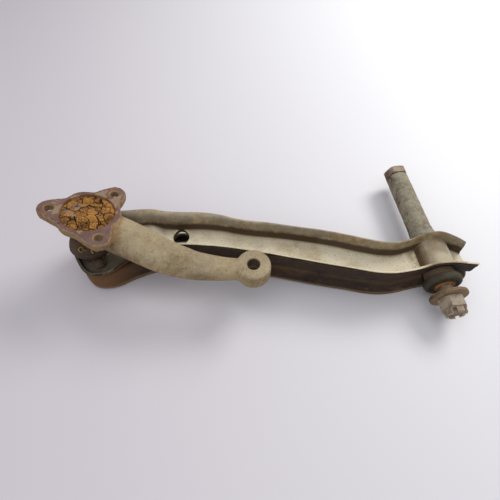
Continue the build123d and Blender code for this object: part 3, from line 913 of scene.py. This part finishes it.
def buildCrust():
    # flakes of rust packed in the flange's cavity over the stud's nut
    c = crust
    bm = bmesh.new()
    bmesh.ops.create_grid(bm, x_segments=130, y_segments=130, size=c["radius"] + 0.2)
    outside = [v for v in bm.verts if v.co.xy.length > c["radius"]]
    bmesh.ops.delete(bm, geom=outside, context="VERTS")
    tone = bm.verts.layers.float.new("flakeTone")
    crack = bm.verts.layers.float.new("flakeCrack")
    grey = bm.verts.layers.float.new("flakeGrey")
    for v in bm.verts:
        spot = v.co.copy()
        pick, split, chip = crustFlakes(spot)
        dark = nearSpot(spot, "dark", 8, 3)
        v.co.z = crustHeight(spot, pick, split, chip)
        v.co.z -= 1.3 * dark * (0.4 + pick) + 0.8 * dark * chip
        v[tone] = pick * (1 - 0.9 * dark)
        v[crack] = max(split, chip * (0.2 + 0.7 * dark))
        v[grey] = nearSpot(spot, "patch", 5.5, 3.0) + nearSpot(spot, "palePatch", 7, 4) * 0.6
    low = bmesh.ops.extrude_edge_only(bm, edges=openEdges(bm))
    for v in [item for item in low["geom"] if isVert(item)]:
        v.co.z = c["foot"]
    bmesh.ops.holes_fill(bm, edges=openEdges(bm), sides=0)
    bmesh.ops.recalc_face_normals(bm, faces=bm.faces)
    bm.transform(onStud)
    obj = toObject(bm, "rust_crust")
    shadeByAngle(obj, 42)
    finishPiece(obj, crustSkin, "steering_knuckle", "rusty_fastener")


buildCrust()
print("rust crust built")

boot = {
    "wall": 1.8, "waist": 17.0, "bore": 9.7,
    # radius and height above the ball's middle, up the outside
    "outside": [(15.9, 6.3), (16.3, 6.7), (16.2, 7.0), (15.9, 7.4), (16.2, 7.9), (16.8, 8.5), (18.6, 9.9),
                (20.3, 12.0), (21.0, 14.2), (20.9, 15.8), (20.2, 17.0), (20.6, 18.1), (20.4, 19.6),
                (19.3, 21.6), (17.3, 23.4), (15.0, 24.6), (13.4, 25.8), (12.7, 27.0), (12.6, 27.8),
                (12.1, 28.3), (12.1, 28.9), (12.6, 29.4), (12.2, 29.9)],
}


def bootPoint(v):
    # upright round the housing's neck, in line with the stud at the top
    t = smooth(8, 27, v.z)
    return (ballCentre + v).lerp(onStud @ v, t)


def buildBoot(name, low, high):
    # one half of the boot, leaning from upright round the housing towards the stud's line
    outside = [(r, z) for r, z in boot["outside"] if low - 0.01 <= z <= high + 0.01]
    thick = boot["wall"]
    inside = [(max(r - thick - (0.5 if r > 13 else 0), boot["bore"]), z) for r, z in reversed(outside)]
    bm = lathe(outside + inside, steps=96)
    for v in bm.verts:
        angle = math.atan2(v.co.y, v.co.x)
        bulge = smooth(10, 16, v.co.z) * smooth(26, 20, v.co.z)
        swell = 1 + bulge * (0.022 * math.sin(2 * angle + 0.8) + 0.015 * math.sin(3 * angle + 2)
                             + 0.012 * ripple(v.co, 7, 4))
        v.co.x *= swell
        v.co.y *= swell
        v.co = bootPoint(v.co)
    obj = toObject(bm, name)
    shadeByAngle(obj, 60)
    obj.data.materials.append(bootRubber)
    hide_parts("ball_boot")
    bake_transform(obj)


buildBoot("boot_lower_half", 6.3, boot["waist"])
buildBoot("boot_upper_half", boot["waist"], 30)

wireEnds = {
    "wire": 0.6, "loops": (2.3, 1.6), "opening": 70,
    "places": [((-357.9, 28.4, 30.1), 20), ((-345.7, 25.8, 30.1), -25)],       # and the turn about Z
}


def buildWireEnds():
    # broken ends of the boot's wire, each two open loops
    w = wireEnds
    bm = bmesh.new()
    for place, turned in w["places"]:
        for i, size in enumerate(w["loops"]):
            upright = Matrix.Translation((size, 0, 0)) @ Matrix.Rotation(math.pi / 2, 4, "X")
            loop = bmesh.ops.create_circle(bm, segments=10, radius=w["wire"], matrix=upright)["verts"]
            bmesh.ops.spin(bm, geom=loop + list({e for v in loop for e in v.link_edges}), cent=(0, 0, 0),
                           axis=(0, 0, 1), angle=math.radians(360 - w["opening"]), steps=20)
            fresh = [v for v in bm.verts if v.co.length < 6]           # the others are in place, far away
            where = (Matrix.Translation(Vector(place) + Vector((3.2 * i, 0.6 * i, 0.3)))
                     @ Matrix.Rotation(math.radians(turned + 70 * i), 4, "Z") @ Matrix.Rotation(0.6, 4, "X"))
            bmesh.ops.transform(bm, verts=fresh, matrix=where)
    bmesh.ops.holes_fill(bm, edges=openEdges(bm), sides=12)
    bmesh.ops.recalc_face_normals(bm, faces=bm.faces)
    finishPiece(toObject(bm, "boot_wire_ends"), wireBrass, "steering_knuckle", "wire_ring")


buildWireEnds()
print("boot built")

fastener = {
    # along the bolt from the middle of the bush, negative towards the nut
    "headTo": 126.5, "headFrom": 117.2, "spacerEnd": 116.0, "sleeveEnd": -35.0, "boltEnd": -64.0,
    "nutFrom": -47.1, "crownFrom": -59.0, "nutTo": -65.0,
    "headFlats": 24, "nutFlats": 22.6, "shank": 7.0, "thread": 1.5, "collar": 10.4, "nutBore": 7.06,
    "slot": 3.8,
}


def hexBody(flats, low, high, chamfer, name):
    # hexagon whose corners are turned off at both ends
    corner = flats / math.sqrt(3)
    obj = toObject(prism(6, corner, low, high, alongY), name)
    edge = (corner - flats / 2) * chamfer
    blank = lathe([(0, low - 0.01), (flats / 2 + 0.2, low - 0.01), (corner + 0.4, low + edge),
                   (corner + 0.4, high - edge), (flats / 2 + 0.2, high + 0.01), (0, high + 0.01)],
                  alongY, 96)
    carve(obj, [toObject(blank, "blank")], "INTERSECT")
    return obj


def threadRidge(radius, low, high, pitch):
    bm = bmesh.new()
    corners = ((-0.9, -0.62), (0, -0.1), (0, 0.1), (-0.9, 0.62))
    section = [bm.verts.new((radius + r, 0, low + z)) for r, z in corners]
    edges = [bm.edges.new((section[i], section[(i + 1) % 4])) for i in range(4)]
    turns = (high - low) / pitch
    perTurn = 32
    bmesh.ops.spin(bm, geom=section + edges, cent=(0, 0, 0), axis=(0, 0, 1), dvec=(0, 0, pitch / perTurn),
                   angle=math.tau * turns, steps=int(perTurn * turns))
    bmesh.ops.holes_fill(bm, edges=openEdges(bm), sides=4)
    bmesh.ops.recalc_face_normals(bm, faces=bm.faces)
    bm.transform(alongY)
    return bm


def buildBolt():
    f = fastener
    shank = f["shank"]
    root = shank - 0.6                               # under the thread
    collar = f["collar"]
    bolt = hexBody(f["headFlats"], f["headFrom"], f["headTo"], 0.55, "pivot_bolt")
    core = lathe([(0, f["boltEnd"]), (shank - 1.4, f["boltEnd"]), (root, f["boltEnd"] + 1),
                  (root, f["sleeveEnd"] - 1), (shank, f["sleeveEnd"]), (shank, f["spacerEnd"] - 0.1),
                  (collar, f["spacerEnd"] - 0.1), (collar, f["headFrom"] + 0.4), (0, f["headFrom"] + 0.4)],
                 alongY)
    carve(bolt, [toObject(core, "core")], "UNION")
    rounded(bolt, 0.35, 2, 40)
    ridge = toObject(threadRidge(shank - 0.05, f["boltEnd"] + 1, f["sleeveEnd"] - 1.6, f["thread"]), "ridge")
    bm = bmesh.new()
    bm.from_mesh(bolt.data)
    bm.from_mesh(ridge.data)
    bm.to_mesh(bolt.data)
    bm.free()
    bpy.data.objects.remove(ridge)
    shadeByAngle(bolt, 32)
    finishPiece(bolt, fastenerRust, "pivot", "rusty_fastener", "pivot_bolt")


def buildNut():
    f = fastener
    bore = f["nutBore"]
    crownFoot = f["crownFrom"] + 1
    nut = hexBody(f["nutFlats"], f["crownFrom"], f["nutFrom"], 0.6, "pivot_nut")
    crown = lathe([(0, f["nutTo"]), (9.4, f["nutTo"]), (10.3, f["nutTo"] + 0.8), (10.6, crownFoot),
                   (0, crownFoot)], alongY)
    carve(nut, [toObject(crown, "crown")], "UNION")
    hole = lathe([(0, -72), (8.4, -72), (bore, -64), (bore, -48.2), (8.2, -46), (0, -46)], alongY)
    cutters = [toObject(hole, "cutBore")]
    for i in range(3):
        where = (alongY @ Matrix.Rotation(math.radians(60 * i + 30), 4, "Z")
                 @ Matrix.Translation((0, 0, f["nutTo"] + 1.6)))
        cutters.append(toObject(block((f["slot"], 30, 7.4), where), "cutSlot"))
    carve(nut, cutters)
    rounded(nut, 0.45, 3, 35)
    shadeByAngle(nut, 35)
    finishPiece(nut, fastenerRust, "loose_nut", "rusty_fastener", "pivot_nut")


buildBolt()
buildNut()


def turnedPiece(node, profile, skin, body, slotName, rough):
    # ring or tube round the pivot, its outline in (radius, distance along the bolt), a little uneven
    bm = lathe(profile, alongY, 120)
    for v in bm.verts:
        around = Vector((v.co.x, 0, v.co.z))
        if around.length > 0.1:
            v.co += around.normalized() * rough * (ripple(v.co, 6, 3) + 0.5 * ripple(v.co, 2.2, 8))
    obj = toObject(bm, node)
    shadeByAngle(obj, 45)
    finishPiece(obj, skin, body, slotName, node)


def layered(outer, low, high, step):
    # points along a straight outside, so that the surface can be uneven
    count = max(int((high - low) / step), 1)
    return [(outer, low + (high - low) * i / count) for i in range(count + 1)]


outlines = {
    "spacer": [(7.3, 30.0), (11.6, 30.0), (12.5, 30.7)] + layered(12.5, 32, 36, 1) + [(12.1, 36.6)]
    + layered(12.1, 37.4, 114.6, 1.6) + [(12.0, 115.4), (11.3, 116.0), (7.3, 116.0)],
    "washer": [(7.3, -46.5), (17.6, -46.6), (18.3, -46.2), (18.5, -45.3), (18.5, -43.9), (18.2, -43.0),
               (17.4, -42.7), (13.0, -42.8), (7.3, -42.7)],
    "rubber": [(9.98, -33.4), (11.4, -33.2), (12.2, -32.2), (13.0, -32.3), (13.9, -33.3), (15.4, -33.5),
               (17.0, -33.0), (18.3, -31.6), (18.9, -29.6), (18.9, -27.4), (18.4, -26.0), (16.8, -25.3),
               (12.9, -25.3), (12.9, 20.8), (9.98, 20.8)],
    "sleeve": [(7.2, -35.0), (8.3, -35.0), (8.6, -34.5), (9.2, -34.9), (9.6, -34.6), (9.7, -33.8),
               (9.7, 21.6), (9.4, 22.0), (7.2, 22.0)],
}
turnedPiece("spacer_tube", outlines["spacer"], spacerSkin, "pivot", "spacer_steel", 0.22)
turnedPiece("bolt_washer", outlines["washer"], washerRust, "loose_washer", "rusty_fastener", 0.1)
turnedPiece("bush_rubber", outlines["rubber"], bushRubber, "control_arm", "bush_rubber", 0.14)
turnedPiece("inner_sleeve", outlines["sleeve"], sleeveRust, "pivot", "rusty_fastener", 0.03)
print("fasteners built")

skinOf = {
    "ball_housing": housingSkin, "housing_rivets": housingSkin, "end_cap": housingSkin,
    "preload_spring": springSteel, "ball_stud": springSteel, "pressure_pad": linerPlastic,
    "ball_seat": linerPlastic, "boot_ring_lower": wireBrass, "boot_ring_upper": wireBrass,
    "stud_nut": fastenerRust, "cotter_pin": fastenerRust, "bush_tube": pressingOilAndShade,
    "thrust_collar": spacerSkin,
}
for node, skin in skinOf.items():
    materials = frame["nodes"][node].data.materials
    materials.clear()
    materials.append(skin)
